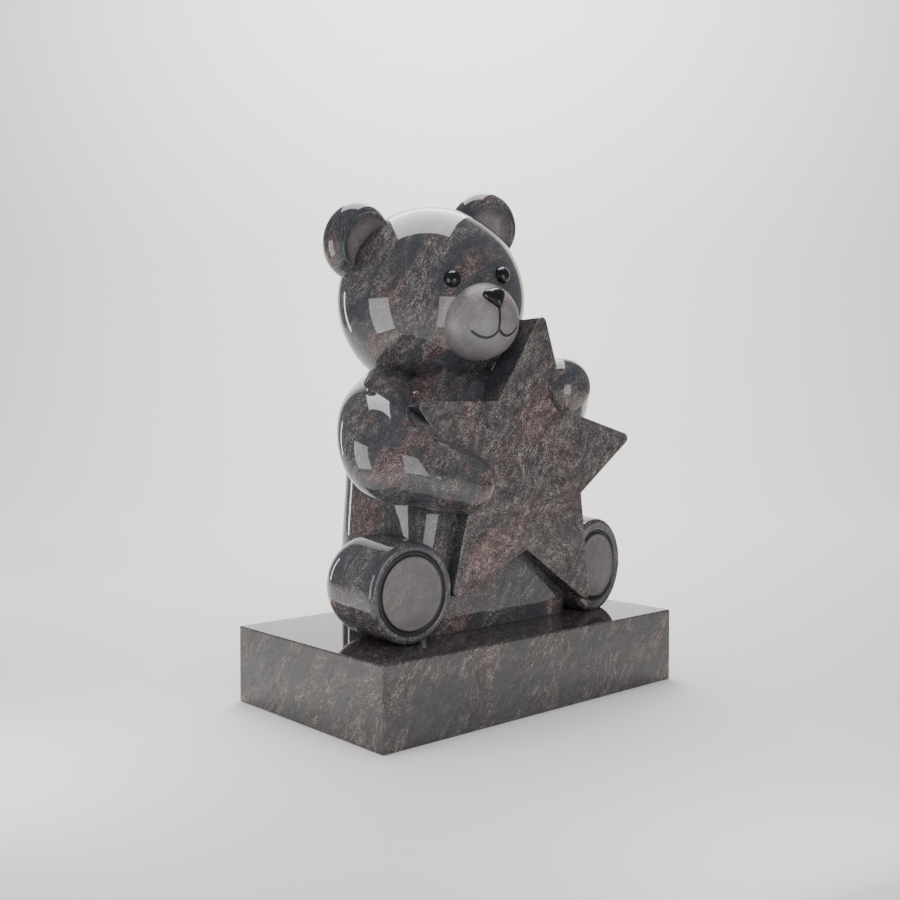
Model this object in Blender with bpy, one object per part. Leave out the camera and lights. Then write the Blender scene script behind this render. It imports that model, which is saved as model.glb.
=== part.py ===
"""Teddy bear headstone: a granite bear hugging a star, on a plinth of its own.

Metres, +Z up. The plinth's underside is at z = 0 and centred on the origin, with its long side
along X. The bear sits on it and faces -Y. Places and sizes of the bear are shares of its height,
measured from the plinth's top: x towards the bear's left hand, y to its back, z up.
"""

import math

import bmesh
import bpy
import numpy as np
from mathutils import Euler, Matrix, Vector

# Driving dimensions
PLINTH_LENGTH = 0.520
PLINTH_DEPTH = 0.305
PLINTH_HEIGHT = 0.100
PLINTH_ARRIS = 0.0015
BEAR_HEIGHT = 0.585
JOINT_GAP = 0.0003

# Head
HEAD_CENTRE = (-0.026, 0.083, 0.742)
HEAD_RADII = (0.227, 0.205, 0.219)
HEAD_TURN = (4.3, -7.4, -8.1)
MUZZLE_CENTRE = (0.0043, -0.176, -0.0465)
MUZZLE_RADII = (0.0955, 0.088, 0.0885)

# Ears, placed in the head's own frame
EAR_PLACE = (0.1765, 0.022, 0.155)
EAR_UNEVENNESS = 0.008
EAR_RADIUS = 0.0885
EAR_HALF_THICKNESS = 0.052
EAR_DISH_RADIUS = 0.058
EAR_DISH_DEPTH = 0.020
EAR_TURN_IN = 8.0
EAR_TIP_DOWN = 10.0

# Eyes and nose, inlaid
EYE_AZIMUTH = 17.6
EYE_ELEVATION = 13.4
EYE_RADIUS = 0.0190
NOSE_ELEVATION = 34.5
NOSE_WIDTH = 0.077
NOSE_HEIGHT = 0.047
NOSE_THICKNESS = 0.032

# Mouth, a cut line
MOUTH_LINE = 0.0030
MOUTH_ELEVATION = -9.5
MOUTH_ASIDE = -4.0
MOUTH_REACH = 39.0
MOUTH_DROP = 12.5

# Body
BODY_CENTRE_Y = 0.045
BODY_HALF_WIDTH = 0.246
BODY_FRONT = 0.165
BODY_BACK = 0.208
BODY_SQUARENESS = 2.9
# The front is squarer low down, where it is left as a straight foot under the star
FRONT_SQUARENESS = ((0.0, 9.0), (0.10, 9.0), (0.18, 5.6), (0.30, 3.4))
# How far the forms reach below the seat before they are cut off flat
BURY = 0.020

# Arms: spine points and radii
RIGHT_ARM = ((-0.165, 0.075, 0.505), (-0.280, -0.030, 0.455), (-0.297, -0.092, 0.385),
             (-0.2265, -0.130, 0.354), (-0.1356, -0.152, 0.327))
LEFT_ARM = ((0.150, 0.080, 0.500), (0.231, 0.074, 0.470), (0.2745, 0.0235, 0.458),
            (0.255, -0.056, 0.493), (0.1975, -0.126, 0.539))
RIGHT_ARM_RADII = (0.081, 0.083, 0.090, 0.077, 0.0665)
LEFT_ARM_RADII = (0.081, 0.080, 0.0824, 0.0731, 0.0689)
# A ball fills the crook of each arm, where the bend is tighter than the arm is thick
RIGHT_CROOK = (-0.248, -0.076, 0.407)
LEFT_CROOK = (0.240, 0.020, 0.475)
CROOK_RADIUS = 0.080

# Legs, turned about a line from hip to foot
RIGHT_HIP = (-0.280, -0.026, 0.1095)
RIGHT_FOOT = (-0.294, -0.168, 0.1080)
LEFT_HIP = (0.293, 0.0105, 0.112)
LEFT_FOOT = (0.312, -0.1395, 0.108)
RIGHT_LEG_RADII = (0.1090, 0.1055)
LEFT_LEG_RADII = (0.124, 0.1135)
LEG_SQUASH = 0.95
PAD_RADIUS = 0.0788
PAD_GROOVE = 0.009
RIM_ROUNDING = 0.011
PAD_CROWN = 0.005

# Star
STAR_CENTRE = (0.073, -0.150, 0.349)
STAR_TIP_RADIUS = 0.370
STAR_NOTCH_RADIUS = 0.182
STAR_THICKNESS = 0.076
STAR_ARRIS = 0.0025
STAR_TIP_ROUNDING = 0.013
STAR_LEAN = 1.8
STAR_YAW = -1.3
STAR_ROLL = 6.1
# Where the hand-cut star strays from a true one: corner, degrees round, share of radius
STAR_STRAYS = {0: (1.7, 1.0), 2: (0.2, 0.981), 3: (-4.1, 0.965), 4: (0.0, 1.022), 9: (-3.1, 1.022)}

# Faces of the round forms
ROUND_SIDES = 30
LIMB_SIDES = 20

GRANITE = ("polished_granite", (0.105, 0.100, 0.104), 0.12)
BLACK = ("black_granite_inlay", (0.006, 0.006, 0.007), 0.08)


def clear_scene():
    for old in list(bpy.data.objects):
        bpy.data.objects.remove(old, do_unlink=True)


def finish(name, colour, roughness):
    """One Principled material, made once and shared by the pieces that have it."""
    made = bpy.data.materials.get(name)
    if made is None:
        made = bpy.data.materials.new(name)
        made.use_nodes = True
        shader = made.node_tree.nodes["Principled BSDF"]
        shader.inputs["Base Color"].default_value = (*colour, 1.0)
        shader.inputs["Roughness"].default_value = roughness
        shader.inputs["Metallic"].default_value = 0.0
    return made


def add_object(name, form, look):
    """A smooth-shaded object from a bmesh, which is freed."""
    bmesh.ops.recalc_face_normals(form, faces=form.faces)
    mesh = bpy.data.meshes.new(name)
    form.to_mesh(mesh)
    form.free()
    mesh.shade_smooth()
    mesh.set_sharp_from_angle(angle=math.radians(35))
    mesh.materials.append(finish(*look))
    made = bpy.data.objects.new(name, mesh)
    bpy.context.scene.collection.objects.link(made)
    return made


def loft(name, rings, look=GRANITE):
    """A closed form through a stack of rings, each a loop of as many points, with flat ends."""
    form = bmesh.new()
    loops = [[form.verts.new(point) for point in ring] for ring in rings]
    for near, far in zip(loops, loops[1:]):
        for index, start in enumerate(near):
            after = (index + 1) % len(near)
            form.faces.new((start, near[after], far[after], far[index]))
    form.faces.new(loops[0][::-1])
    form.faces.new(loops[-1])
    return add_object(name, form, look)


def place(shares):
    """A point of the bear, from shares of its height to metres."""
    return Vector(shares) * BEAR_HEIGHT + Vector((0, 0, PLINTH_HEIGHT))


def size(share):
    return share * BEAR_HEIGHT


def head_frame():
    """The head's centre and tilt: local x, y and z to the world."""
    tilt = [math.radians(angle) for angle in HEAD_TURN]
    return Matrix.Translation(place(HEAD_CENTRE)) @ Euler(tilt, "XYZ").to_matrix().to_4x4()


def ellipsoid(name, frame, radii, sides, look=GRANITE):
    """A ball stretched by its three radii, in a frame of its own."""
    form = bmesh.new()
    stretch = Matrix.Diagonal((*radii, 1.0))
    bmesh.ops.create_uvsphere(
        form, u_segments=sides, v_segments=sides * 2 // 3, radius=1.0, matrix=frame @ stretch
    )
    return add_object(name, form, look)


def turned(name, frame, profile, sides, squash=1.0):
    """A form turned about its frame's z, from (distance along z, radius) pairs."""
    angles = np.linspace(0, 2 * math.pi, sides, endpoint=False)
    rings = [
        [frame @ Vector((squash * radius * math.cos(angle), radius * math.sin(angle), along))
         for angle in angles]
        for along, radius in profile
    ]
    return loft(name, rings)


def smooth_path(points, count):
    """Catmull-Rom curve through the points, as count places evenly spread in parameter."""
    knots = np.array(points, float)
    knots = np.vstack([2 * knots[0] - knots[1], knots, 2 * knots[-1] - knots[-2]])
    places = []
    for value in np.linspace(0, len(points) - 1, count):
        index = min(int(value), len(points) - 2)
        t = value - index
        a, b, c, d = knots[index:index + 4]
        places.append(0.5 * (2 * b + (c - a) * t + (2 * a - 5 * b + 4 * c - d) * t ** 2
                             + (3 * b - a - 3 * c + d) * t ** 3))
    return np.array(places)


def limb(name, points, radii, sides):
    """A round tube along a smooth curve, with half-ball ends."""
    path = smooth_path([(*place(point), size(radius)) for point, radius in zip(points, radii)], 12)
    tangents = np.gradient(path[:, :3], axis=0)
    tangents /= np.linalg.norm(tangents, axis=1)[:, None]
    stations = []
    for slope in (-80, -58, -36, -16):
        turn = math.radians(slope)
        stations.append((path[0, :3] + tangents[0] * path[0, 3] * math.sin(turn),
                         tangents[0], path[0, 3] * math.cos(turn)))
    stations += [(row[:3], tangent, row[3]) for row, tangent in zip(path, tangents)]
    for slope in (16, 36, 58, 80):
        turn = math.radians(slope)
        stations.append((path[-1, :3] + tangents[-1] * path[-1, 3] * math.sin(turn),
                         tangents[-1], path[-1, 3] * math.cos(turn)))
    angles = np.linspace(0, 2 * math.pi, sides, endpoint=False)
    rings = []
    for centre, tangent, radius in stations:
        upward = np.array((0.0, 0.0, 1.0)) - tangent * tangent[2]
        upward /= np.linalg.norm(upward)
        across = np.cross(tangent, upward)
        rings.append([centre + radius * (math.cos(angle) * across + math.sin(angle) * upward)
                      for angle in angles])
    return loft(name, rings)


def crook(name, centre):
    return ellipsoid(name, Matrix.Translation(place(centre)), (size(CROOK_RADIUS),) * 3, LIMB_SIDES)


def body_profile(level):
    """How wide and how far forward the body is at a level, as shares of its greatest sizes."""
    levels = (0.000, 0.080, 0.180, 0.300, 0.400, 0.480, 0.540, 0.580)
    widths = (1.000, 1.000, 1.000, 0.970, 0.950, 0.890, 0.720, 0.420)
    fronts = (1.000, 1.000, 1.000, 1.000, 0.970, 0.900, 0.700, 0.500)
    return np.interp(level, levels, widths), np.interp(level, levels, fronts)


def body():
    """A pear with a squarish plan: superellipse rings, flatter in front, where the star rests."""
    angles = np.linspace(0, 2 * math.pi, ROUND_SIDES, endpoint=False)
    rings = []
    for level in np.linspace(-1.5 * BURY, 0.58, 15):
        wide, forward = body_profile(level)
        front = np.interp(level, *zip(*FRONT_SQUARENESS))
        ring = []
        for angle in angles:
            across, along = math.cos(angle), math.sin(angle)
            power = 2 / (front if along < 0 else BODY_SQUARENESS)
            x = BODY_HALF_WIDTH * wide * math.copysign(abs(across) ** power, across)
            reach = BODY_FRONT * forward if along < 0 else BODY_BACK * wide
            y = BODY_CENTRE_Y + reach * math.copysign(abs(along) ** power, along)
            ring.append(place((x, y, level)))
        rings.append(ring)
    return loft("body_form", rings)


def ear(name, side):
    """A thick round ear with a dished front, turned about the line that it faces along."""
    facing = Euler((math.radians(90 + EAR_TIP_DOWN), 0, math.radians(-side * EAR_TURN_IN)), "XYZ")
    across, back, up = EAR_PLACE
    spot = Vector((side * across, back, up + side * EAR_UNEVENNESS)) * BEAR_HEIGHT
    frame = head_frame() @ Matrix.Translation(spot) @ facing.to_matrix().to_4x4()
    radius, half = size(EAR_RADIUS), size(EAR_HALF_THICKNESS)
    dish, depth = size(EAR_DISH_RADIUS), size(EAR_DISH_DEPTH)
    profile = []
    for slope in (-84, -66, -48, -30, -12, 6, 24, 40):
        turn = math.radians(slope)
        profile.append((half * math.sin(turn), radius * math.cos(turn)))
    crest = half * math.sin(math.radians(52))
    profile += [(crest, dish + 0.35 * (radius - dish)), (crest, dish + 0.1 * (radius - dish))]
    for share in (1.0, 0.92, 0.7, 0.4, 0.1):
        profile.append((crest - depth * (1 - share ** 4) - 0.15 * depth, dish * share))
    return turned(name, frame, profile, 28)


def leg(name, hip_share, foot_share, radii):
    """A stout leg turned about the line from hip to foot, with a pad let into the sole."""
    hip, foot = place(hip_share), place(foot_share)
    line = (foot - hip).normalized()
    frame = Matrix.Translation(hip) @ line.to_track_quat("Z", "Y").to_matrix().to_4x4()
    length = (foot - hip).length
    wide, end, rounding = size(radii[0]), size(radii[1]), size(RIM_ROUNDING)
    pad, groove, crown = size(PAD_RADIUS), size(PAD_GROOVE), size(PAD_CROWN)
    profile = []
    for slope in (-82, -62, -42, -22, 0):
        turn = math.radians(slope)
        profile.append((wide * math.sin(turn), wide * math.cos(turn)))
    for slope in (0, 30, 60, 90):
        turn = math.radians(slope)
        profile.append((length - rounding + rounding * math.sin(turn),
                        end - rounding + rounding * math.cos(turn)))
    profile += [(length - 0.8 * groove, pad + 0.6 * groove), (length - 0.6 * groove, pad)]
    for share in (0.85, 0.55, 0.15):
        profile.append((length + crown * (1 - share ** 2) - 0.2 * groove, pad * share))
    return turned(name, frame, profile, ROUND_SIDES, LEG_SQUASH)


def star_outline():
    """The star's loop of points in its own plane, with rounded tips and crisp notches."""
    corners = []
    for index in range(10):
        stray, longer = STAR_STRAYS.get(index, (0.0, 1.0))
        angle = math.pi / 5 * index + math.radians(STAR_ROLL + stray)
        radius = size(STAR_NOTCH_RADIUS if index % 2 else STAR_TIP_RADIUS) * longer
        corners.append(Vector((radius * math.sin(angle), radius * math.cos(angle))))
    rounding = size(STAR_TIP_ROUNDING)
    points = []
    for index, corner in enumerate(corners):
        if index % 2:
            points.append(corner)
            continue
        before = (corners[index - 1] - corner).normalized()
        after = (corners[(index + 1) % 10] - corner).normalized()
        half = before.angle(after) / 2
        middle = corner + (before + after).normalized() * rounding / math.sin(half)
        start = corner + before * rounding / math.tan(half) - middle
        sweep = math.pi - 2 * half
        for step in range(5):
            points.append(middle + Matrix.Rotation(-sweep * step / 4, 2) @ start)
    return points


def star_frame():
    """The star's front face: x to the bear's left, y up the face and z out of it."""
    lean = Matrix.Rotation(math.radians(90 - STAR_LEAN), 4, "X")
    yaw = Matrix.Rotation(math.radians(STAR_YAW), 4, "Z")
    return Matrix.Translation(place(STAR_CENTRE)) @ yaw @ lean


def star():
    frame = star_frame()
    rings = [[frame @ Vector((*point, depth)) for point in star_outline()]
             for depth in (-size(STAR_THICKNESS), 0.0)]
    made = loft("star_form", rings)
    bevel = made.modifiers.new("arris", "BEVEL")
    bevel.width = size(STAR_ARRIS)
    bevel.segments = 1
    bevel.limit_method = "ANGLE"
    bevel.angle_limit = math.radians(60)
    return made


def eye_place(side):
    """The middle of an eye, on the head's surface."""
    azimuth, elevation = math.radians(EYE_AZIMUTH), math.radians(EYE_ELEVATION)
    facing = Vector((side * math.sin(azimuth) * math.cos(elevation),
                     -math.cos(azimuth) * math.cos(elevation), math.sin(elevation)))
    return head_frame() @ Vector([size(r) * n for r, n in zip(HEAD_RADII, facing)])


def eye(name, side, grow, look):
    ball = size(EYE_RADIUS) + grow
    return ellipsoid(name, Matrix.Translation(eye_place(side)), (ball,) * 3, 18, look)


def muzzle_point(elevation, azimuth=0.0):
    """A point on the muzzle, in the head's frame, by its angles up and to the bear's left."""
    up, out = math.radians(elevation), math.radians(azimuth)
    facing = (math.sin(out) * math.cos(up), -math.cos(out) * math.cos(up), math.sin(up))
    return Vector([size(c + r * n) for c, r, n in zip(MUZZLE_CENTRE, MUZZLE_RADII, facing)])


def nose(name, grow, look):
    """A rounded triangle, point down, wrapped round the top of the muzzle."""
    facing = Matrix.Rotation(math.radians(90 - NOSE_ELEVATION), 4, "X")
    frame = head_frame() @ Matrix.Translation(muzzle_point(NOSE_ELEVATION)) @ facing
    wide, high = size(NOSE_WIDTH) / 2, size(NOSE_HEIGHT) / 2
    deep = size(NOSE_THICKNESS) / 2 + grow
    angles = np.linspace(0, 2 * math.pi, 24, endpoint=False)
    rings = []
    for slope in (-78, -52, -26, 0, 26, 52, 78):
        turn = math.radians(slope)
        ring = []
        for angle in angles:
            across, up = math.cos(angle), math.sin(angle)
            taper = 0.62 + 0.38 * up
            across = math.copysign(abs(across) ** 0.75, across)
            x = (wide * taper + grow) * across * math.cos(turn)
            y = (high + grow) * up * math.cos(turn)
            ring.append(frame @ Vector((x, y, deep * math.sin(turn))))
        rings.append(ring)
    return loft(name, rings, look)


def groove(name, points, radius):
    """A thin round tube along points in the head's frame, which cuts a line."""
    places = [head_frame() @ point for point in points]
    rings = []
    for index, centre in enumerate(places):
        line = (places[min(index + 1, len(places) - 1)] - places[max(index - 1, 0)]).normalized()
        out = (centre - head_frame() @ Vector([size(c) for c in MUZZLE_CENTRE])).normalized()
        across = line.cross(out).normalized()
        rings.append([centre + radius * (math.cos(a) * across + math.sin(a) * out)
                      for a in np.linspace(0, 2 * math.pi, 6, endpoint=False)])
    return loft(name, rings)


def mouth_lines():
    """The cut below the nose and the two arcs of the smile, as tubes to take away."""
    depth = size(MOUTH_LINE)
    upright = [muzzle_point(NOSE_ELEVATION - 12 + (MOUTH_ELEVATION - NOSE_ELEVATION + 12) * share,
                            MOUTH_ASIDE * share) for share in np.linspace(0, 1, 6)]
    cuts = [groove("mouth_upright", upright, depth)]
    for side in (-1, 1):
        arc = []
        for share in 0.5 - 0.5 * np.cos(np.linspace(0, math.pi, 11)):
            drop = MOUTH_DROP * math.sin(math.pi * share ** 0.85) ** 0.75
            arc.append(muzzle_point(MOUTH_ELEVATION - drop, MOUTH_ASIDE + side * MOUTH_REACH * share))
        cuts.append(groove("mouth_arc_left" if side > 0 else "mouth_arc_right", arc, depth))
    return cuts


def helpers(title, members):
    """Hides cutters and joined forms, and groups them for one Boolean."""
    group = bpy.data.collections.new(title)
    bpy.context.scene.collection.children.link(group)
    for member in members:
        bpy.context.scene.collection.objects.unlink(member)
        group.objects.link(member)
        member.hide_render = True
        member.display_type = "WIRE"
    return group


def boolean(target, operation, group):
    step = target.modifiers.new(operation.lower(), "BOOLEAN")
    step.operation = operation
    step.operand_type = "COLLECTION"
    step.collection = group
    step.solver = "EXACT"


def box(name, low, high, look=GRANITE):
    form = bmesh.new()
    extent = Vector(high) - Vector(low)
    middle = (Vector(high) + Vector(low)) / 2
    bmesh.ops.create_cube(
        form, size=1.0, matrix=Matrix.Translation(middle) @ Matrix.Diagonal((*extent, 1.0))
    )
    return add_object(name, form, look)


def plinth():
    made = box("plinth", (-PLINTH_LENGTH / 2, -PLINTH_DEPTH / 2, 0.0),
               (PLINTH_LENGTH / 2, PLINTH_DEPTH / 2, PLINTH_HEIGHT))
    bevel = made.modifiers.new("arris", "BEVEL")
    bevel.width = PLINTH_ARRIS
    bevel.segments = 2
    return made


def bear():
    """The bear and its star, one block of stone: every form joined, then the cuts."""
    made = body()
    made.name = "bear_with_star"
    head = head_frame()
    muzzle = head @ Matrix.Translation(Vector([size(c) for c in MUZZLE_CENTRE]))
    forms = [
        ellipsoid("head_form", head, [size(r) for r in HEAD_RADII], 38),
        ellipsoid("muzzle_form", muzzle, [size(r) for r in MUZZLE_RADII], 26),
        ear("right_ear_form", -1), ear("left_ear_form", 1),
        limb("right_arm_form", RIGHT_ARM, RIGHT_ARM_RADII, LIMB_SIDES),
        limb("left_arm_form", LEFT_ARM, LEFT_ARM_RADII, LIMB_SIDES),
        crook("right_crook_form", RIGHT_CROOK), crook("left_crook_form", LEFT_CROOK),
        leg("right_leg_form", RIGHT_HIP, RIGHT_FOOT, RIGHT_LEG_RADII),
        leg("left_leg_form", LEFT_HIP, LEFT_FOOT, LEFT_LEG_RADII),
        star(),
    ]
    reach = BEAR_HEIGHT
    seat = box("seat_cut", (-reach, -reach, PLINTH_HEIGHT - reach),
               (reach, reach, PLINTH_HEIGHT + JOINT_GAP))
    cuts = [seat, eye("right_socket", -1, JOINT_GAP, GRANITE), eye("left_socket", 1, JOINT_GAP, GRANITE),
            nose("nose_socket", JOINT_GAP, GRANITE), *mouth_lines()]
    boolean(made, "UNION", helpers("bear_forms", forms))
    boolean(made, "DIFFERENCE", helpers("bear_cuts", cuts))
    return made


def main():
    clear_scene()
    plinth()
    bear()
    eye("right_eye", -1, 0.0, BLACK)
    eye("left_eye", 1, 0.0, BLACK)
    nose("nose", 0.0, BLACK)


main()
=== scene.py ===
"""Teddy bear headstone in polished granite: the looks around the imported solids.

Metres, +Z up, in the solids' own frame: the plinth's underside is centred on the origin and the bear
faces -Y. Places and sizes of the bear are shares of its height, measured from the plinth's top.
"""

import math

import bpy
import numpy as np
from mathutils import Euler, Matrix, Vector


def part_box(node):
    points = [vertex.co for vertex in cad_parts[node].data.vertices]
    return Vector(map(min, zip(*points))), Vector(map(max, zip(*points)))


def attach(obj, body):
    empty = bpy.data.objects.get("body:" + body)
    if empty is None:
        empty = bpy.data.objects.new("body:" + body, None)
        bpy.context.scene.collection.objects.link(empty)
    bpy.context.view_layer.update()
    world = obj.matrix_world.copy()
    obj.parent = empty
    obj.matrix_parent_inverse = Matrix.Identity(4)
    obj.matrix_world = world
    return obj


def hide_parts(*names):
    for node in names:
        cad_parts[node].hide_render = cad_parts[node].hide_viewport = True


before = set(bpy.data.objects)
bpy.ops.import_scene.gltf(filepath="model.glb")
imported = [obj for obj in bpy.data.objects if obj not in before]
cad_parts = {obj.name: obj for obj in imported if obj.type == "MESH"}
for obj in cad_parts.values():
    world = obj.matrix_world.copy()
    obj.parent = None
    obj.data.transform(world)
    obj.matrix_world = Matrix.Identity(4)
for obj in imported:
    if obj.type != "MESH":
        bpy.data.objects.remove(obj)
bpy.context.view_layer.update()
FINENESS = 1.0

# Metres
PLINTH_HEIGHT = 0.100
PLINTH_ARRIS = 0.0017
BEAR_HEIGHT = 0.585
JOINT_GAP = 0.0003

# From here on shares of the bear's height, and angles in degrees
HEAD_CENTRE = (-0.026, 0.083, 0.742)
HEAD_RADII = (0.227, 0.205, 0.219)
HEAD_TURN = (4.3, -7.4, -8.1)
MUZZLE_CENTRE = (0.0043, -0.176, -0.0465)
MUZZLE_RADII = (0.0955, 0.088, 0.0885)

EAR_PLACE = (0.1765, 0.022, 0.155)
EAR_UNEVENNESS = 0.008
EAR_RADIUS = 0.0885
EAR_HALF_THICKNESS = 0.052
EAR_DISH_RADIUS = 0.058
EAR_DISH_DEPTH = 0.022
EAR_RIM_ROUNDING = 0.01026
EAR_TURN_IN = 8.0
EAR_TIP_DOWN = 10.0
# How far round from its widest circle an ear's outside is turned, and where that leaves its flat crest
EAR_TURNED_TO = 44
EAR_CREST_AT = 53

EYE_AZIMUTH = 17.6
EYE_ELEVATION = 13.4
EYE_RADIUS = 0.0190
NOSE_ELEVATION = 34.5
NOSE_WIDTH = 0.077
NOSE_HEIGHT = 0.047
NOSE_THICKNESS = 0.032

# The cut starts this far below the nose's middle, and then come the two arcs of the smile
MOUTH_BELOW_NOSE = 12.0
MOUTH_LINE = 0.0030
MOUTH_ELEVATION = -9.5
MOUTH_ASIDE = -4.0
MOUTH_REACH = 39.0
MOUTH_DROP = 12.5

BODY_CENTRE_Y = 0.045
BODY_HALF_WIDTH = 0.246
BODY_FRONT = 0.165
BODY_BACK = 0.208
# Level, then width and front as shares of the greatest, then how square the front half is
BODY_LEVELS = ((-0.03, 1.000, 1.000, 9.0), (0.00, 1.000, 1.000, 9.0), (0.10, 1.000, 1.000, 9.0),
               (0.18, 1.000, 1.000, 5.6), (0.30, 0.970, 1.000, 3.4), (0.40, 0.950, 0.970, 3.2),
               (0.48, 0.890, 0.900, 3.0), (0.54, 0.720, 0.700, 3.0), (0.58, 0.420, 0.500, 3.0))
BACK_SQUARENESS = 2.9

RIGHT_ARM = ((-0.165, 0.075, 0.505), (-0.280, -0.030, 0.455), (-0.297, -0.092, 0.385),
             (-0.2265, -0.130, 0.354), (-0.1356, -0.152, 0.327))
LEFT_ARM = ((0.150, 0.080, 0.500), (0.231, 0.074, 0.470), (0.2745, 0.0235, 0.458),
            (0.255, -0.056, 0.493), (0.1975, -0.126, 0.539))
RIGHT_ARM_RADII = (0.081, 0.083, 0.090, 0.077, 0.0665)
LEFT_ARM_RADII = (0.081, 0.080, 0.0824, 0.0731, 0.0689)
# A ball fills the crook of each arm, where the bend is tighter than the arm is thick
RIGHT_CROOK = (-0.248, -0.076, 0.407)
LEFT_CROOK = (0.240, 0.020, 0.475)
CROOK_RADIUS = 0.080

RIGHT_HIP = (-0.280, -0.026, 0.1095)
RIGHT_FOOT = (-0.294, -0.168, 0.1080)
LEFT_HIP = (0.293, 0.0105, 0.112)
LEFT_FOOT = (0.312, -0.1395, 0.108)
RIGHT_LEG_RADII = (0.1090, 0.1055)
LEFT_LEG_RADII = (0.124, 0.1135)
LEG_SQUASH = 0.95
PAD_RADIUS = 0.0788
PAD_GROOVE = 0.009
RIM_ROUNDING = 0.011
PAD_CROWN = 0.005
SOLE_ROUNDING = 0.002735

STAR_CENTRE = (0.073, -0.150, 0.349)
STAR_TIP_RADIUS = 0.370
STAR_NOTCH_RADIUS = 0.182
STAR_THICKNESS = 0.076
STAR_ARRIS = 0.0028
STAR_TIP_ROUNDING = 0.013
STAR_LEAN = 1.8
STAR_YAW = -1.3
STAR_ROLL = 6.1
STAR_STRAYS = {0: (1.7, 1.0), 2: (0.2, 0.981), 3: (-4.1, 0.965), 4: (0.0, 1.022), 9: (-3.1, 1.022)}


# Places, sizes and curves


def place(shares):
    """A point of the bear in metres, from shares of its height above the plinth's top."""
    return np.asarray(shares, float) * BEAR_HEIGHT + (0, 0, PLINTH_HEIGHT)


def size(share):
    """A length of the bear in metres, from a share of its height."""
    return np.asarray(share, float) * BEAR_HEIGHT


def moved(matrix, points):
    """Points of an array, carried by a 4 x 4 matrix."""
    matrix = np.array(matrix)
    return points @ matrix[:3, :3].T + matrix[:3, 3]


def head_frame():
    """The head's own frame: its centre, tipped and turned."""
    tilt = [math.radians(angle) for angle in HEAD_TURN]
    return Matrix.Translation(place(HEAD_CENTRE)) @ Euler(tilt, "XYZ").to_matrix().to_4x4()


def smooth(knots, count):
    """Catmull-Rom curve: half of 2b + (c - a)t + (2a - 5b + 4c - d)t^2 + (3b - a - 3c + d)t^3."""
    knots = np.asarray(knots, float)
    knots = np.vstack([2 * knots[0] - knots[1], knots, 2 * knots[-1] - knots[-2]])
    value = np.linspace(0, len(knots) - 3, count)
    first = np.minimum(value.astype(int), len(knots) - 4)
    t = (value - first)[:, None]
    a, b, c, d = (knots[first + step] for step in range(4))
    return 0.5 * (2 * b + (c - a) * t + (2 * a - 5 * b + 4 * c - d) * t ** 2
                  + (3 * b - a - 3 * c + d) * t ** 3)


def skin(name, rings, looks, look_of_row=None, ends=None):
    """A closed mesh over a grid of rows and columns of points, fanned shut at both ends."""
    rows, columns = rings.shape[:2]
    ends = rings[[0, -1]].mean(axis=1) if ends is None else np.asarray(ends)
    points = np.vstack([rings.reshape(-1, 3), ends])
    row, column = np.meshgrid(np.arange(rows - 1), np.arange(columns), indexing="ij")
    after = (column + 1) % columns
    quads = np.stack([row * columns + column, row * columns + after,
                      (row + 1) * columns + after, (row + 1) * columns + column], -1).reshape(-1, 4)
    around = np.arange(columns)
    next_one = (around + 1) % columns
    last = (rows - 1) * columns
    near = np.stack([np.full(columns, rows * columns), next_one, around], -1)
    far = np.stack([np.full(columns, rows * columns + 1), last + around, last + next_one], -1)
    volume = np.einsum("ij,ij->", points[quads[:, 0]], np.cross(points[quads[:, 1]], points[quads[:, 2]]))
    volume += np.einsum("ij,ij->", points[quads[:, 0]], np.cross(points[quads[:, 2]], points[quads[:, 3]]))
    for fan in (near, far):
        corners = points[fan]
        volume += np.einsum("ij,ij->", corners[:, 0], np.cross(corners[:, 1], corners[:, 2]))
    if volume < 0:
        quads, near, far = quads[:, ::-1], near[:, ::-1], far[:, ::-1]
    mesh = bpy.data.meshes.new(name)
    mesh.from_pydata(points.tolist(), [], quads.tolist() + near.tolist() + far.tolist())
    for look in looks:
        mesh.materials.append(look)
    if look_of_row is not None:
        by_row = np.asarray(look_of_row)
        chosen = np.concatenate([by_row[row.reshape(-1)], np.full(columns, by_row[0]),
                                 np.full(columns, by_row[-1])])
        mesh.polygons.foreach_set("material_index", chosen.astype(np.int32))
    mesh.shade_smooth()
    made = bpy.data.objects.new(name, mesh)
    bpy.context.scene.collection.objects.link(made)
    return made


def fine(count):
    return max(8, round(count * FINENESS))


def ball_rings(rows, columns):
    """Unit ball: at polar angle p and azimuth a the point is (sin p cos a, sin p sin a, cos p)."""
    rows, columns = fine(rows), fine(columns)
    polar = np.linspace(0, math.pi, rows + 2)[1:-1, None]
    around = np.linspace(0, 2 * math.pi, columns, endpoint=False)[None, :]
    return np.stack([np.sin(polar) * np.cos(around), np.sin(polar) * np.sin(around),
                     np.cos(polar) * np.ones_like(around)], -1)


def ellipsoid(name, matrix, radii, rows, columns, looks):
    """A ball stretched by three radii."""
    poles = np.array(((0, 0, 1.0), (0, 0, -1.0)))
    return skin(name, moved(matrix, ball_rings(rows, columns) * radii), looks,
                ends=moved(matrix, poles * radii))


def turned(name, matrix, profile, columns, looks, squash=1.0, look_of_row=None):
    """Turned about z: at height h and radius r the point is (squash r cos a, r sin a, h)."""
    profile = np.asarray(profile, float)
    around = np.linspace(0, 2 * math.pi, fine(columns), endpoint=False)
    along, radius = profile[:, 0, None], profile[:, 1, None]
    rings = np.stack([squash * radius * np.cos(around), radius * np.sin(around),
                      along * np.ones_like(around)], -1)
    return skin(name, moved(matrix, rings), looks, look_of_row)


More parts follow.
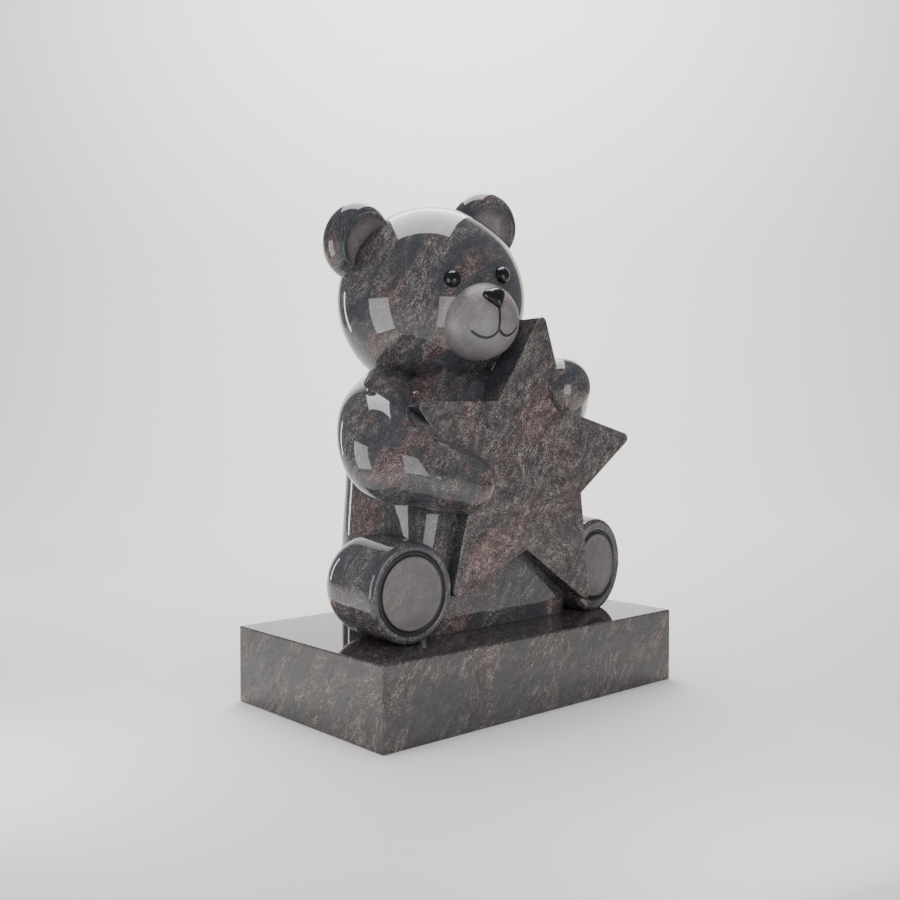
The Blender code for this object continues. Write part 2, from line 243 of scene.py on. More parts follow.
def limb(name, points, radii, looks):
    """Circles carried along a smooth path, their planes square to it, with half-ball ends."""
    path = smooth(np.column_stack([place(points), size(radii)]), fine(64))
    tangent = np.gradient(path[:, :3], axis=0)
    tangent /= np.linalg.norm(tangent, axis=1)[:, None]
    turn = np.radians(np.linspace(-87, -6, 18))[:, None]
    ball_rows = len(turn)
    start = np.hstack([path[0, :3] + tangent[0] * path[0, 3] * np.sin(turn), path[0, 3] * np.cos(turn)])
    finish = np.hstack([path[-1, :3] - tangent[-1] * path[-1, 3] * np.sin(turn[::-1]),
                        path[-1, 3] * np.cos(turn[::-1])])
    line = np.vstack([np.repeat(tangent[:1], ball_rows, 0), tangent, np.repeat(tangent[-1:], ball_rows, 0)])
    path = np.vstack([start, path, finish])
    upward = np.array((0.0, 0.0, 1.0)) - line * line[:, 2:]
    upward /= np.linalg.norm(upward, axis=1)[:, None]
    across = np.cross(line, upward)
    around = np.linspace(0, 2 * math.pi, fine(64), endpoint=False)[None, :, None]
    radius = path[:, 3, None, None]
    rings = path[:, None, :3] + radius * (np.cos(around) * across[:, None] + np.sin(around) * upward[:, None])
    return skin(name, rings, looks)


def crook(name, centre, looks):
    """The ball in the crook of an arm."""
    ball = Matrix.Translation(Vector(place(centre)))
    return ellipsoid(name, ball, size((CROOK_RADIUS,) * 3), 48, 48, looks)


def body(name, looks):
    """A pear: at each level a superellipse |x/w|^n + |y/f|^n = 1, n rising towards the front foot."""
    levels = smooth(BODY_LEVELS, fine(110))
    level, wide, forward, front = (levels[:, index, None] for index in range(4))
    around = np.linspace(0, 2 * math.pi, fine(144), endpoint=False)[None, :]
    across, along = np.cos(around), np.sin(around)
    squareness = BACK_SQUARENESS + (front - BACK_SQUARENESS) * np.clip(-2.2 * along, 0, 1) ** 2
    across, along = (np.sign(v) * np.abs(v) ** (2 / squareness) for v in (across, along))
    reach = np.where(along < 0, BODY_FRONT * forward, BODY_BACK * wide)
    shares = np.stack([BODY_HALF_WIDTH * wide * across, BODY_CENTRE_Y + reach * along,
                       level * np.ones_like(across)], -1)
    return skin(name, place(shares), looks)


def rounded(profile, radius, steps=5):
    """A profile whose inner corners are cut by arcs of a radius, as a chain of points."""
    profile = np.asarray(profile, float)
    chain = [profile[:1]]
    for before, corner, after in zip(profile, profile[1:], profile[2:]):
        arrive, leave = before - corner, after - corner
        reach = min(radius, 0.45 * np.linalg.norm(arrive), 0.45 * np.linalg.norm(leave))
        arrive, leave = (v / np.linalg.norm(v) * reach for v in (arrive, leave))
        t = np.linspace(0, 1, steps)[:, None]
        chain.append(corner + (1 - t) ** 2 * arrive + t ** 2 * leave)
    chain.append(profile[-1:])
    return np.vstack(chain)


def ear(name, side, looks):
    """A lens-shaped disc turned about the way it faces; its front falls to a dish by depth (1 - s^4)."""
    facing = Euler((math.radians(90 + EAR_TIP_DOWN), 0, math.radians(-side * EAR_TURN_IN)), "XYZ")
    across, back, up = EAR_PLACE
    spot = size((side * across, back, up + side * EAR_UNEVENNESS))
    matrix = head_frame() @ Matrix.Translation(spot) @ facing.to_matrix().to_4x4()
    radius, half, dish, depth, rounding = (float(size(v)) for v in (
        EAR_RADIUS, EAR_HALF_THICKNESS, EAR_DISH_RADIUS, EAR_DISH_DEPTH, EAR_RIM_ROUNDING))
    slope = np.radians(np.linspace(-88, EAR_TURNED_TO, 40))
    outside = np.column_stack([half * np.sin(slope), radius * np.cos(slope)])
    crest = half * math.sin(math.radians(EAR_CREST_AT))
    band = radius - dish
    rim = rounded([outside[-1], (crest, dish + 0.45 * band), (crest, dish + 0.05 * band),
                   (crest - 0.10 * depth, dish * 0.985)], rounding, 7)
    share = np.linspace(0.975, 0.02, 26)
    hollow = np.column_stack([crest - 0.12 * depth - depth * (1 - share ** 4), dish * share])
    profile = np.vstack([outside[:-1], rim, hollow])
    dished = np.arange(len(profile)) >= len(outside) + len(rim) - 3
    return turned(name, matrix, profile, 80, looks, look_of_row=dished * 1)


def leg(name, hip_share, foot_share, radii, looks):
    """A leg turned about hip to foot: half-ball, barrel, round rim, groove, and a pad crowned by 1 - s^2."""
    hip, foot = Vector(place(hip_share)), Vector(place(foot_share))
    line = foot - hip
    matrix = Matrix.Translation(hip) @ line.to_track_quat("Z", "Y").to_matrix().to_4x4()
    wide, end, rounding, pad, groove, crown, edge = (float(size(v)) for v in (
        *radii, RIM_ROUNDING, PAD_RADIUS, PAD_GROOVE, PAD_CROWN, SOLE_ROUNDING))
    length = line.length
    slope = np.radians(np.linspace(-87, 0, 22))
    barrel = np.linspace(0.08, 0.92, 14)
    rim = np.radians(np.linspace(0, 84, 10))
    sole = rounded([(length - 0.0003, end - rounding - 0.0002), (length - 0.05 * groove, pad + 1.15 * groove),
                    (length - 0.85 * groove, pad + 0.5 * groove), (length - 0.65 * groove, pad),
                    (length + 0.02 * groove, 0.965 * pad), (length + 0.1 * groove, 0.92 * pad)], edge)
    share = np.linspace(0.88, 0.02, 20)
    profile = np.vstack([
        np.column_stack([wide * np.sin(slope), wide * np.cos(slope)]),
        np.column_stack([barrel * (length - rounding), wide + (end - wide) * barrel]),
        np.column_stack([length - rounding * (1 - np.sin(rim)), end - rounding * (1 - np.cos(rim))]),
        sole,
        np.column_stack([length + crown * (1 - share ** 2) - 0.15 * groove, pad * share])])
    # Past the rim's rows come the groove, as far in as the pad's edge, and then the pad. The groove's rows
    # take the dark tone as painted shade of the deep recess
    past_rim = np.arange(len(profile)) >= len(slope) + len(barrel) + len(rim)
    worked = past_rim & (profile[:, 1] < pad + 1.05 * groove)
    # The pad's rows take the pad tone, honed granite darkened as painted shade
    crowned = past_rim & (profile[:, 1] < 0.985 * pad)
    return turned(name, matrix, profile, 112, looks, LEG_SQUASH, worked * 2 - crowned * 1)


def star_outline():
    """Ten corners on two circles, each moved by its own stray, with arcs of a radius in the tips."""
    corners = []
    for index in range(10):
        stray, longer = STAR_STRAYS.get(index, (0.0, 1.0))
        angle = math.pi / 5 * index + math.radians(STAR_ROLL + stray)
        radius = size(STAR_NOTCH_RADIUS if index % 2 else STAR_TIP_RADIUS) * longer
        corners.append(Vector((radius * math.sin(angle), radius * math.cos(angle))))
    rounding = float(size(STAR_TIP_ROUNDING))
    points = []
    for index, corner in enumerate(corners):
        if index % 2:
            points.append(corner)
            continue
        before = (corners[index - 1] - corner).normalized()
        after = (corners[(index + 1) % 10] - corner).normalized()
        half = before.angle(after) / 2
        middle = corner + (before + after).normalized() * rounding / math.sin(half)
        start = corner + before * rounding / math.tan(half) - middle
        sweep = math.pi - 2 * half
        points += [middle + Matrix.Rotation(-sweep * step / 10, 2) @ start for step in range(11)]
    return np.array(points)


def star(name, looks):
    """A prism on the star's outline, its front and back edges eased by a small round arris."""
    lean = Matrix.Rotation(math.radians(90 - STAR_LEAN), 4, "X")
    yaw = Matrix.Rotation(math.radians(STAR_YAW), 4, "Z")
    matrix = Matrix.Translation(place(STAR_CENTRE)) @ yaw @ lean
    outline = star_outline()
    depth = np.array((-float(size(STAR_THICKNESS)), 0.0))[:, None, None]
    rings = np.concatenate([np.broadcast_to(outline, (2, *outline.shape)),
                            np.broadcast_to(depth, (2, len(outline), 1))], -1)
    points = moved(matrix, rings).reshape(-1, 3)
    count = len(outline)
    sides = [(i, (i + 1) % count, count + (i + 1) % count, count + i) for i in range(count)]
    mesh = bpy.data.meshes.new(name)
    mesh.from_pydata(points.tolist(), [], [*sides, tuple(range(count))[::-1], tuple(range(count, 2 * count))])
    mesh.materials.append(looks[0])
    mesh.materials.append(looks[1])
    mesh.polygons[count + 1].material_index = 1
    made = bpy.data.objects.new(name, mesh)
    bpy.context.scene.collection.objects.link(made)
    if np.dot(mesh.polygons[count + 1].normal, (0, -1, 0)) < 0:
        mesh.flip_normals()
    mesh.shade_smooth()
    mesh.set_sharp_from_angle(angle=math.radians(30))
    ease(made, float(size(STAR_ARRIS)), 55)
    return made


def ease(piece, width, angle):
    """A small round arris on the edges sharper than an angle; big flats keep their own normals."""
    bevel = piece.modifiers.new("arris", "BEVEL")
    bevel.width, bevel.segments = width, 3
    bevel.limit_method, bevel.angle_limit = "ANGLE", math.radians(angle)
    weighted = piece.modifiers.new("flats", "WEIGHTED_NORMAL")
    weighted.keep_sharp = True


def eye(name, side, grow, looks):
    """A ball let into the head where a line at the eye's azimuth and elevation leaves it."""
    azimuth, elevation = math.radians(EYE_AZIMUTH), math.radians(EYE_ELEVATION)
    facing = np.array((side * math.sin(azimuth) * math.cos(elevation),
                       -math.cos(azimuth) * math.cos(elevation), math.sin(elevation)))
    spot = head_frame() @ Vector(size(HEAD_RADII) * facing)
    return ellipsoid(name, Matrix.Translation(spot), np.full(3, size(EYE_RADIUS) + grow), 30, 48, looks)


def muzzle_point(elevation, azimuth=0.0):
    """Points on the muzzle in the head's frame, by angles up and towards the bear's left."""
    up, out = np.broadcast_arrays(np.radians(elevation), np.radians(azimuth))
    facing = np.stack([np.sin(out) * np.cos(up), -np.cos(out) * np.cos(up), np.sin(up)], -1)
    return size(np.asarray(MUZZLE_CENTRE) + np.asarray(MUZZLE_RADII) * facing)


def nose(name, grow, looks):
    """An ellipsoid whose half-width |cos a|^0.75 falls off towards its lower end by 0.62 + 0.38 sin a."""
    facing = Matrix.Rotation(math.radians(90 - NOSE_ELEVATION), 4, "X")
    matrix = head_frame() @ Matrix.Translation(Vector(muzzle_point(NOSE_ELEVATION))) @ facing
    slope = np.radians(np.linspace(-86, 86, 28))[:, None]
    around = np.linspace(0, 2 * math.pi, 56, endpoint=False)[None, :]
    across, up = np.sign(np.cos(around)) * np.abs(np.cos(around)) ** 0.75, np.sin(around)
    wide, high, deep = (float(size(v)) / 2 for v in (NOSE_WIDTH, NOSE_HEIGHT, NOSE_THICKNESS))
    rings = np.stack([(wide * (0.62 + 0.38 * up) + grow) * across * np.cos(slope),
                      (high + grow) * up * np.cos(slope),
                      (deep + grow) * np.sin(slope) * np.ones_like(around)], -1)
    return skin(name, moved(matrix, rings), looks)


def groove(name, points, radius, looks):
    """A thin tube along points on the muzzle: circles square to the path, for cutting a line."""
    path = moved(head_frame(), points)
    line = np.gradient(path, axis=0)
    out = path - moved(head_frame(), size(MUZZLE_CENTRE))
    across = np.cross(line, out)
    across /= np.linalg.norm(across, axis=1)[:, None]
    out = np.cross(across, line)
    out /= np.linalg.norm(out, axis=1)[:, None]
    around = np.linspace(0, 2 * math.pi, 12, endpoint=False)[None, :, None]
    rings = path[:, None] + radius * (np.cos(around) * across[:, None] + np.sin(around) * out[:, None])
    return skin(name, rings, looks)


def mouth(looks):
    """The cut below the nose, and two arcs that drop by |sin(pi s^0.85)|^0.75 on their way out."""
    depth = float(size(MOUTH_LINE))
    upright = muzzle_point(np.linspace(NOSE_ELEVATION - MOUTH_BELOW_NOSE, MOUTH_ELEVATION, 24),
                           np.linspace(0, MOUTH_ASIDE, 24))
    cuts = [groove("mouth_upright", upright, depth, looks)]
    share = 0.5 - 0.5 * np.cos(np.linspace(0, math.pi, 36))
    drop = MOUTH_DROP * np.abs(np.sin(math.pi * share ** 0.85)) ** 0.75
    for side in (-1, 1):
        arc = muzzle_point(MOUTH_ELEVATION - drop, MOUTH_ASIDE + side * MOUTH_REACH * share)
        cuts.append(groove(f"mouth_arc_{side}", arc, depth, looks))
    return cuts


# Joining the forms into one stone


def applied(piece):
    """The piece's mesh with its modifiers worked in."""
    bpy.context.view_layer.update()
    graph = bpy.context.evaluated_depsgraph_get()
    made = bpy.data.meshes.new_from_object(piece.evaluated_get(graph), depsgraph=graph)
    piece.modifiers.clear()
    old, piece.data = piece.data, made
    bpy.data.meshes.remove(old)
    return made


def keep_normals(piece, sign=1.0):
    """Writes each corner's shading normal into an attribute that a Boolean carries along."""
    mesh = applied(piece)
    found = np.empty(len(mesh.loops) * 3, np.float32)
    mesh.corner_normals.foreach_get("vector", found)
    layer = mesh.attributes.new("carved_normal", "FLOAT_VECTOR", "CORNER")
    layer.data.foreach_set("vector", sign * found)


def restore_normals(mesh):
    """Gives each corner the normal of the form that it came from, or the face's where that is lost."""
    kept = np.empty(len(mesh.loops) * 3, np.float32)
    mesh.attributes["carved_normal"].data.foreach_get("vector", kept)
    kept = kept.reshape(-1, 3)
    flat = np.empty(len(mesh.polygons) * 3, np.float32)
    mesh.polygons.foreach_get("normal", flat)
    total = np.empty(len(mesh.polygons), np.int32)
    mesh.polygons.foreach_get("loop_total", total)
    flat = np.repeat(flat.reshape(-1, 3), total, axis=0)
    length = np.linalg.norm(kept, axis=1, keepdims=True)
    kept = kept / np.maximum(length, 1e-9)
    lost = (length[:, 0] < 0.3) | (np.einsum("ij,ij->i", kept, flat) < 0.2)
    kept[lost] = flat[lost]
    mesh.attributes.remove(mesh.attributes["carved_normal"])
    mesh.shade_smooth()
    mesh.normals_split_custom_set(kept.tolist())


def boolean(target, operation, members):
    """Joins or takes away the members in one exact step, and removes them."""
    group = bpy.data.collections.new(operation)
    bpy.context.scene.collection.children.link(group)
    for member in members:
        bpy.context.scene.collection.objects.unlink(member)
        group.objects.link(member)
    step = target.modifiers.new(operation, "BOOLEAN")
    step.operation, step.operand_type, step.collection = operation, "COLLECTION", group
    step.solver, step.material_mode = "EXACT", "TRANSFER"
    applied(target)
    for member in members:
        bpy.data.objects.remove(member, do_unlink=True)
    bpy.data.collections.remove(group)


def seat_box(name, looks):
    """A block below the plinth's top, to cut the bear off flat."""
    low, high = PLINTH_HEIGHT - 0.2, PLINTH_HEIGHT + JOINT_GAP
    square = np.array(((-0.5, -0.5), (0.5, -0.5), (0.5, 0.5), (-0.5, 0.5)))
    rings = np.stack([np.column_stack([square, np.full(4, level)]) for level in (low, high)])
    made = skin(name, rings, looks)
    made.data.shade_flat()
    return made


def carved_bear(polished, satin, honed, pad, dish, line):
    """Bear and star as one stone: the forms joined, then the seat, the sockets and the mouth cut."""
    made = body("carved_bear", [polished])
    head = head_frame()
    muzzle = head @ Matrix.Translation(Vector(size(MUZZLE_CENTRE)))
    forms = [
        ellipsoid("head_form", head, size(HEAD_RADII), 96, 144, [polished]),
        ellipsoid("muzzle_form", muzzle, size(MUZZLE_RADII), 64, 96, [honed]),
        ear("right_ear_form", -1, [polished, dish]), ear("left_ear_form", 1, [polished, dish]),
        limb("right_arm_form", RIGHT_ARM, RIGHT_ARM_RADII, [polished]),
        limb("left_arm_form", LEFT_ARM, LEFT_ARM_RADII, [polished]),
        crook("right_crook_form", RIGHT_CROOK, [polished]), crook("left_crook_form", LEFT_CROOK, [polished]),
        # The legs' pad grooves take the dark line tone as painted shade, and their pads the darkened pad tone
        # as painted shade
        leg("right_leg_form", RIGHT_HIP, RIGHT_FOOT, RIGHT_LEG_RADII, [polished, pad, line]),
        leg("left_leg_form", LEFT_HIP, LEFT_FOOT, LEFT_LEG_RADII, [polished, pad, line]),
        star("star_form", [polished, satin]),
    ]
    cuts = [seat_box("seat_cut", [polished]), eye("right_socket", -1, JOINT_GAP, [polished]),
            eye("left_socket", 1, JOINT_GAP, [polished]), nose("nose_socket", JOINT_GAP, [honed]),
            *mouth([line])]
    for form in (made, *forms):
        keep_normals(form)
    for cut in cuts:
        keep_normals(cut, -1.0)
    boolean(made, "UNION", forms)
    boolean(made, "DIFFERENCE", cuts)
    restore_normals(made.data)
    return made


def plinth(name, look):
    """A block on the solid's own box, with a small round arris."""
    low, high = (np.array(corner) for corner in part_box("plinth"))
    square = np.array(((low[0], low[1]), (high[0], low[1]), (high[0], high[1]), (low[0], high[1])))
    rings = np.stack([np.column_stack([square, np.full(4, level)]) for level in (low[2], high[2])])
    mesh = bpy.data.meshes.new(name)
    sides = [(i, (i + 1) % 4, 4 + (i + 1) % 4, 4 + i) for i in range(4)]
    mesh.from_pydata(rings.reshape(-1, 3).tolist(), [], [*sides, (3, 2, 1, 0), (4, 5, 6, 7)])
    mesh.materials.append(look)
    mesh.shade_smooth()
    made = bpy.data.objects.new(name, mesh)
    bpy.context.scene.collection.objects.link(made)
    ease(made, PLINTH_ARRIS, 30)
    return made


# Stone and inlay


# A direction square to the stone's beds, and the levels at which its minerals' tones sit
BEDDING = (1.0, -1.0, -1.0)
MINERAL_LEVELS = (0.26, 0.42, 0.52, 0.62, 0.76)


def linear(colour):
    """sRGB hex to linear: c / 12.92 up to 0.04045, else ((c + 0.055) / 1.055) ^ 2.4."""
    parts = np.array([int(colour[i:i + 2], 16) for i in (1, 3, 5)]) / 255
    values = np.where(parts <= 0.04045, parts / 12.92, ((parts + 0.055) / 1.055) ** 2.4)
    return (*values.tolist(), 1.0)


def darker(colour, share):
    """An sRGB hex colour with each channel multiplied by a share."""
    return "#" + "".join(f"{round(int(colour[i:i + 2], 16) * share):02x}" for i in (1, 3, 5))


def add(tree, kind, settings=None, stops=None, **inputs):
    """Adds a node, sets its settings and colour stops, and links or sets each input by name or _number."""
    made = tree.nodes.new("ShaderNode" + kind)
    for key, value in (settings or {}).items():
        setattr(made, key, value)
    for index, (position, colour) in enumerate(stops or ()):
        ramp = made.color_ramp.elements
        stop = ramp[index] if index < 2 else ramp.new(position)
        stop.position, stop.color = position, linear(colour)
    for key, value in inputs.items():
        socket = made.inputs[int(key[1:]) if key[0] == "_" else key.replace("_", " ")]
        if isinstance(value, bpy.types.NodeSocket):
            tree.links.new(value, socket)
        else:
            socket.default_value = value
    return made


def math_node(tree, operation, *values):
    """Adds a node of arithmetic, whose inputs are linked or set in order."""
    inputs = {f"_{index}": value for index, value in enumerate(values)}
    return add(tree, "Math", {"operation": operation}, **inputs).outputs[0]


def granite(name, plain_tones, warm_tones, cool_tones, roughness, stretch, streaks=0.5, speckle=1.0,
            calm=0.6, wave=1.0):
    """Migmatite granite, sawn and worked to the polish given: dark mica, grey quartz and pale feldspar
    in grains of 1 to 3 mm, drawn out into streaks, with calm patches of even slate-coloured quartz."""
    made = bpy.data.materials.new(name)
    made.use_nodes = True
    tree = made.node_tree
    shader = tree.nodes["Principled BSDF"]
    spot = add(tree, "TexCoord").outputs["Object"]
    # Warped so that no bed runs dead straight: swirls of some 70 mm
    swirl = add(tree, "TexNoise", Vector=spot, Scale=9.0, Detail=2.0)
    centred = add(tree, "VectorMath", {"operation": "SUBTRACT"}, _0=swirl.outputs["Color"], _1=(0.5,) * 3)
    swirled = add(tree, "VectorMath", {"operation": "SCALE"}, _0=centred.outputs[0], Scale=0.060)
    warped = add(tree, "VectorMath", {"operation": "ADD"}, _0=spot, _1=swirled.outputs[0])
    # The block's bedding: distances square to the beds count for more, so streaks lie along them
    bed = Vector(BEDDING).normalized()
    height = add(tree, "VectorMath", {"operation": "DOT_PRODUCT"}, _0=warped.outputs[0], _1=bed)
    pull = math_node(tree, "MULTIPLY", height.outputs["Value"], stretch)
    shift = add(tree, "VectorMath", {"operation": "SCALE"}, _0=bed, Scale=pull)
    bedded = add(tree, "VectorMath", {"operation": "ADD"}, _0=warped.outputs[0], _1=shift.outputs[0])
    bedded = bedded.outputs[0]
    # Hues drift in broad soft patches some 90 mm across
    patches = add(tree, "TexNoise", Vector=bedded, Scale=8.0, Detail=2.0, Roughness=0.5)
    # Calm patches of even quartz, some 50 mm across, with frayed edges
    quiet = add(tree, "TexNoise", Vector=bedded, Scale=13.0, Detail=5.0, Roughness=0.62)
    # Streaks 3 to 10 mm wide, then clots of 2 to 4 mm, then single grains of 1 to 2 mm
    broad = add(tree, "TexNoise", Vector=bedded, Scale=60.0, Detail=5.0, Roughness=0.7)
    clots = add(tree, "TexNoise", Vector=bedded, Scale=230.0, Detail=5.0, Roughness=0.85)
    grains = add(tree, "TexNoise", Vector=spot, Scale=720.0, Detail=2.0, Roughness=0.7)
    busy = add(tree, "MapRange", Value=quiet.outputs["Fac"], From_Min=0.40, From_Max=0.56,
               To_Min=1.0 - calm, To_Max=1.0)
    # Each is centred on nought and weighed, and their sum is quietened in the calm patches
    drawn, clotted, grained = (
        math_node(tree, "MULTIPLY_ADD", noise.outputs["Fac"], weight, -0.5 * weight)
        for noise, weight in ((broad, streaks), (clots, 0.70), (grains, 0.80 * speckle)))
    total = math_node(tree, "ADD", math_node(tree, "ADD", clotted, grained), drawn)
    level = math_node(tree, "ADD", math_node(tree, "MULTIPLY", total, busy.outputs["Result"]), 0.5)
    # Mineral tones from mica to feldspar, in grey, pinkish and bluish beds
    grey, pink, blue = (add(tree, "ValToRGB", stops=zip(MINERAL_LEVELS, tones), Fac=level)
                        for tones in (plain_tones, warm_tones, cool_tones))
    is_pink = add(tree, "MapRange", Value=patches.outputs["Fac"], From_Min=0.48, From_Max=0.62)
    is_blue = add(tree, "MapRange", Value=quiet.outputs["Fac"], From_Min=0.54, From_Max=0.42)
    warmed = add(tree, "Mix", {"data_type": "RGBA"}, _0=is_pink.outputs["Result"],
                 _6=grey.outputs["Color"], _7=pink.outputs["Color"])
    tinted = add(tree, "Mix", {"data_type": "RGBA"}, _0=is_blue.outputs["Result"],
                 _6=warmed.outputs[2], _7=blue.outputs["Color"])
    tree.links.new(tinted.outputs[2], shader.inputs["Base Color"])
    # Mica takes the polish less well than quartz
    polish = add(tree, "MapRange", Value=level, From_Min=0.3, From_Max=0.7,
                 To_Min=roughness * 1.6, To_Max=roughness)
    tree.links.new(polish.outputs["Result"], shader.inputs["Roughness"])
    # Undulation left by the polishing heads: 30 mm waves a few hundredths of a millimetre high
    waves = add(tree, "TexNoise", Vector=spot, Scale=30.0, Detail=1.0)
    relief = add(tree, "Bump", Height=waves.outputs["Fac"], Strength=0.5, Distance=0.0005 * wave)
    tree.links.new(relief.outputs["Normal"], shader.inputs["Normal"])
    shader.inputs["IOR"].default_value = 1.55
    return made


def black_inlay(name):
    """Polished black gabbro inlay: near black, a few faint grey crystals, mirror gloss."""
    made = bpy.data.materials.new(name)
    made.use_nodes = True
    tree = made.node_tree
    shader = tree.nodes["Principled BSDF"]
    spot = add(tree, "TexCoord").outputs["Object"]
    crystals = add(tree, "TexVoronoi", Vector=spot, Scale=900.0)
    tone = add(tree, "ValToRGB", stops=((0.0, "#0c0c0d"), (0.85, "#151516"), (1.0, "#2a2a2b")),
               Fac=add(tree, "SeparateColor", Color=crystals.outputs["Color"]).outputs["Red"])
    tree.links.new(tone.outputs["Color"], shader.inputs["Base Color"])
    smear = add(tree, "TexNoise", Vector=spot, Scale=160.0, Detail=2.0)
    rough = add(tree, "MapRange", Value=smear.outputs["Fac"], To_Min=0.03, To_Max=0.09)
    tree.links.new(rough.outputs["Result"], shader.inputs["Roughness"])
    shader.inputs["IOR"].default_value = 1.42
    return made


def plain(name, colour, roughness):
    """One even colour and roughness, set on the shader's own sockets."""
    made = bpy.data.materials.new(name)
    made.use_nodes = True
    shader = made.node_tree.nodes["Principled BSDF"]
    shader.inputs["Base Color"].default_value = linear(colour)
    shader.inputs["Roughness"].default_value = roughness
    return made


# The studio


# The photo's view, worked out from the plinth's corners: metres, degrees, and pixels of focal length
CAMERA_PLACE = (-0.97356, -1.06004, 0.37217)
CAMERA_TILT = math.radians(90 - 1.70254)
CAMERA_TURN = math.radians(-41.82423)
FOCAL_PIXELS = 1054.74
PICTURE_PIXELS = 900
SENSOR_MM = 36.0
LIGHTS_AIM = (-0.015, 0.0, 0.45)


def floor():
    """A pale floor that sweeps up behind: a flat run, a quarter circle and a wall, carried sideways."""
    turn = np.linspace(0, math.pi / 2, 24)
    reach, radius = 2.6, 1.2
    profile = np.vstack([np.column_stack([np.linspace(-4.0, reach, 12), np.zeros(12)]),
                         np.column_stack([reach + radius * np.sin(turn), radius * (1 - np.cos(turn))]),
                         ((reach + radius, 5.0),)])
    side = np.linspace(-2.6, 2.6, 9)
    grid = np.stack(np.broadcast_arrays(side[None, :], profile[:, :1], profile[:, 1:]), -1)
    grid = grid @ np.array(Matrix.Rotation(CAMERA_TURN, 3, "Z")).T
    rows, columns = grid.shape[:2]
    row, column = np.meshgrid(np.arange(rows - 1), np.arange(columns - 1), indexing="ij")
    first = (row * columns + column).reshape(-1)
    faces = np.stack([first, first + 1, first + columns + 1, first + columns], -1)
    mesh = bpy.data.meshes.new("studio_floor")
    mesh.from_pydata(grid.reshape(-1, 3).tolist(), [], faces.tolist())
    mesh.materials.append(plain("matt_paper_sweep", "#efeeea", 0.9))
    mesh.shade_smooth()
    made = bpy.data.objects.new("studio_floor", mesh)
    bpy.context.scene.collection.objects.link(made)


def camera():
    """The camera at the photo's viewing angle."""
    lens = bpy.data.cameras.new("view")
    lens.sensor_width, lens.sensor_fit = SENSOR_MM, "AUTO"
    lens.lens = FOCAL_PIXELS / PICTURE_PIXELS * SENSOR_MM
    lens.clip_start, lens.clip_end = 0.02, 50
    made = bpy.data.objects.new("view", lens)
    made.location = CAMERA_PLACE
    made.rotation_euler = (CAMERA_TILT, 0, CAMERA_TURN)
    bpy.context.scene.collection.objects.link(made)
    bpy.context.scene.camera = made


def softbox(name, right, up, ahead, wide, high, power):
    """A white rectangular light, by metres right of, above and beyond the bear's middle as the view turns."""
    light = bpy.data.lights.new(name, "AREA")
    light.shape, light.size, light.size_y = "RECTANGLE", wide, high
    light.energy = power
    made = bpy.data.objects.new(name, light)
    turn = Matrix.Rotation(CAMERA_TURN, 3, "Z")
    aim = Vector(LIGHTS_AIM)
    made.location = aim + turn @ Vector((right, ahead, up))
    made.rotation_euler = (aim - made.location).to_track_quat("-Z", "Y").to_euler()
    bpy.context.scene.collection.objects.link(made)
    return made


def studio():
    """Floor, camera, a large lamp overhead, window-shaped lamps beside the bear and a faint pale sky."""
    floor()
    camera()
    overhead = softbox("overhead", -0.08, 1.10, 0.55, 0.84, 1.5, 30)
    overhead.rotation_euler = (0, 0, CAMERA_TURN)
    softbox("left_window", -0.62, -0.15, -0.42, 0.38, 0.48, 2.8)
    softbox("right_window", 0.36, -0.15, -0.66, 0.34, 0.48, 1.7)
    softbox("left_rim", -1.33, 0.0, 0.83, 0.10, 0.65, 2.0)
    fill = softbox("front_fill", 0.5, 1.0, -2.0, 1.6, 1.6, 27)
    fill.visible_glossy = False
    wash = softbox("backdrop_wash", 0.0, 2.6, 1.6, 3.0, 0.8, 210)
    wash.rotation_euler = (math.radians(62), 0, CAMERA_TURN)
    world = bpy.data.worlds.new("studio")
    bpy.context.scene.world = world
    world.use_nodes = True
    sky = world.node_tree.nodes["Background"]
    sky.inputs["Color"].default_value = linear("#e4e6e8")
    sky.inputs["Strength"].default_value = 0.38


def dress(piece, node):
    """Hangs a finished piece on the part's body in place of the solid of its node."""
    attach(piece, "root")
    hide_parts(node)


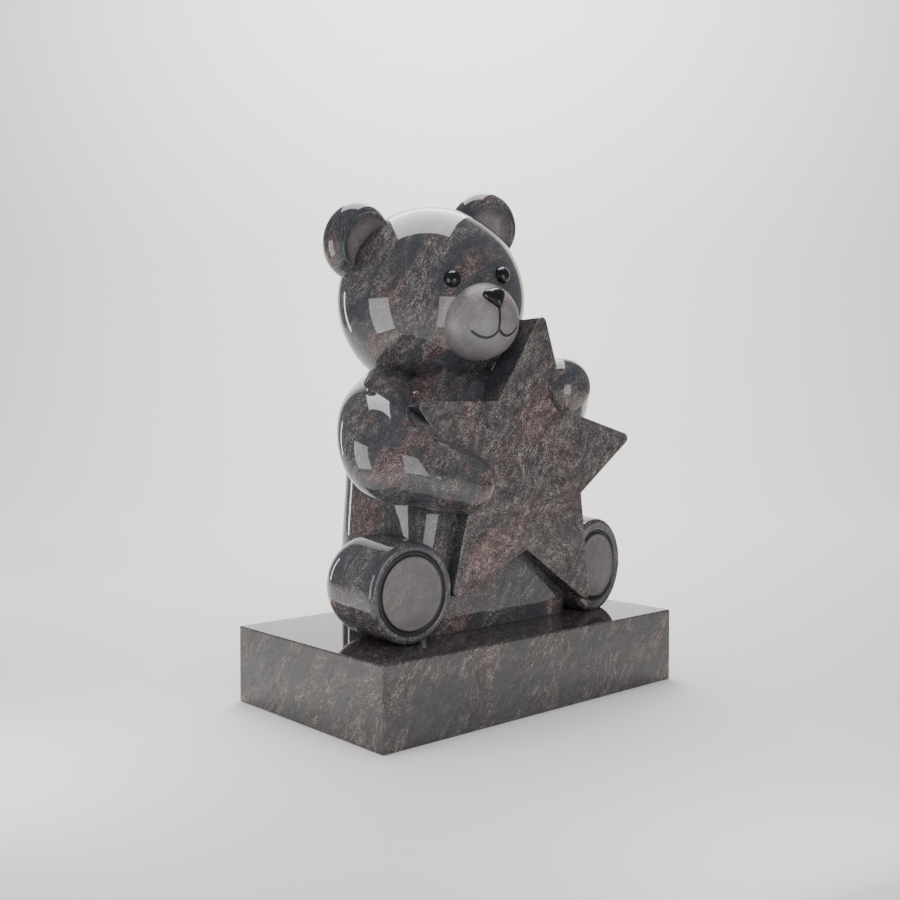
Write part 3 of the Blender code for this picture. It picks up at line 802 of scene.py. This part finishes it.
def shaded(share, *sets):
    """Sets of tones, each tone darkened to a share."""
    return [[darker(tone, share) for tone in tones] for tones in sets]


def main():
    # Tones run from mica to feldspar. Polished stone is dark, honed stone pale and low in contrast
    grey = ("#1b191a", "#323031", "#474445", "#6b6665", "#a39d99")
    pink = ("#221b1c", "#3c3132", "#534546", "#766665", "#a89a95")
    blue = ("#19191c", "#2a2b2f", "#3a3b40", "#59595d", "#918f8f")
    ashen = ("#1b1819", "#332e2f", "#474142", "#6b6564", "#aaa39e")
    polished = granite("polished_migmatite_granite", grey, pink, blue, 0.03, stretch=1.2)
    slaty = ("#1b1a1d", "#2e2c2e", "#403d3f", "#605d5f", "#959290")
    veined = granite("polished_veined_granite", *shaded(0.87, ashen, pink, slaty), 0.03, stretch=2.2,
                     streaks=0.7, wave=0.3)
    russet = ("#241a1b", "#423234", "#594546", "#7c6865", "#b1a19b")
    satin = granite("satin_granite_face", ashen, russet, ashen, 0.25, stretch=0.9, streaks=0.7, speckle=1.4,
                    calm=0.3)
    pale = ("#504a4b", "#60595b", "#6c6566", "#7a7475", "#94908f")
    rosy = ("#53494a", "#645758", "#716465", "#807474", "#988d8c")
    misty = ("#4a484b", "#59575b", "#656366", "#747174", "#8f8c8d")
    honed = granite("honed_granite", pale, rosy, misty, 0.34, stretch=0.8, speckle=0.35)
    # The pads are the muzzle's honed granite darkened to 0.86, as painted shade for the dimmer light low on
    # the feet
    pad = granite("honed_granite_pad_in_painted_shade", *shaded(0.86, pale, rosy, misty), 0.36, stretch=0.8, speckle=0.35)
    dish = granite("honed_granite_dish", pale, rosy, misty, 0.34, stretch=0.8, speckle=0.5)
    # One dark tone for two marks: the mouth's stained cut line, which is real, and painted shade in the deep
    # groove round each foot's pad
    line = granite("stained_mouth_line_and_painted_groove_shade", *shaded(0.36, pale, rosy, misty), 0.4, stretch=4.0, speckle=0.3)
    black = black_inlay("polished_black_gabbro")
    dress(carved_bear(polished, satin, honed, pad, dish, line), "bear_with_star")
    dress(plinth("granite_plinth", veined), "plinth")
    dress(eye("right_eye_inlay", -1, 0.0, [black]), "right_eye")
    dress(eye("left_eye_inlay", 1, 0.0, [black]), "left_eye")
    dress(nose("nose_inlay", 0.0, [black]), "nose")
    studio()


main()
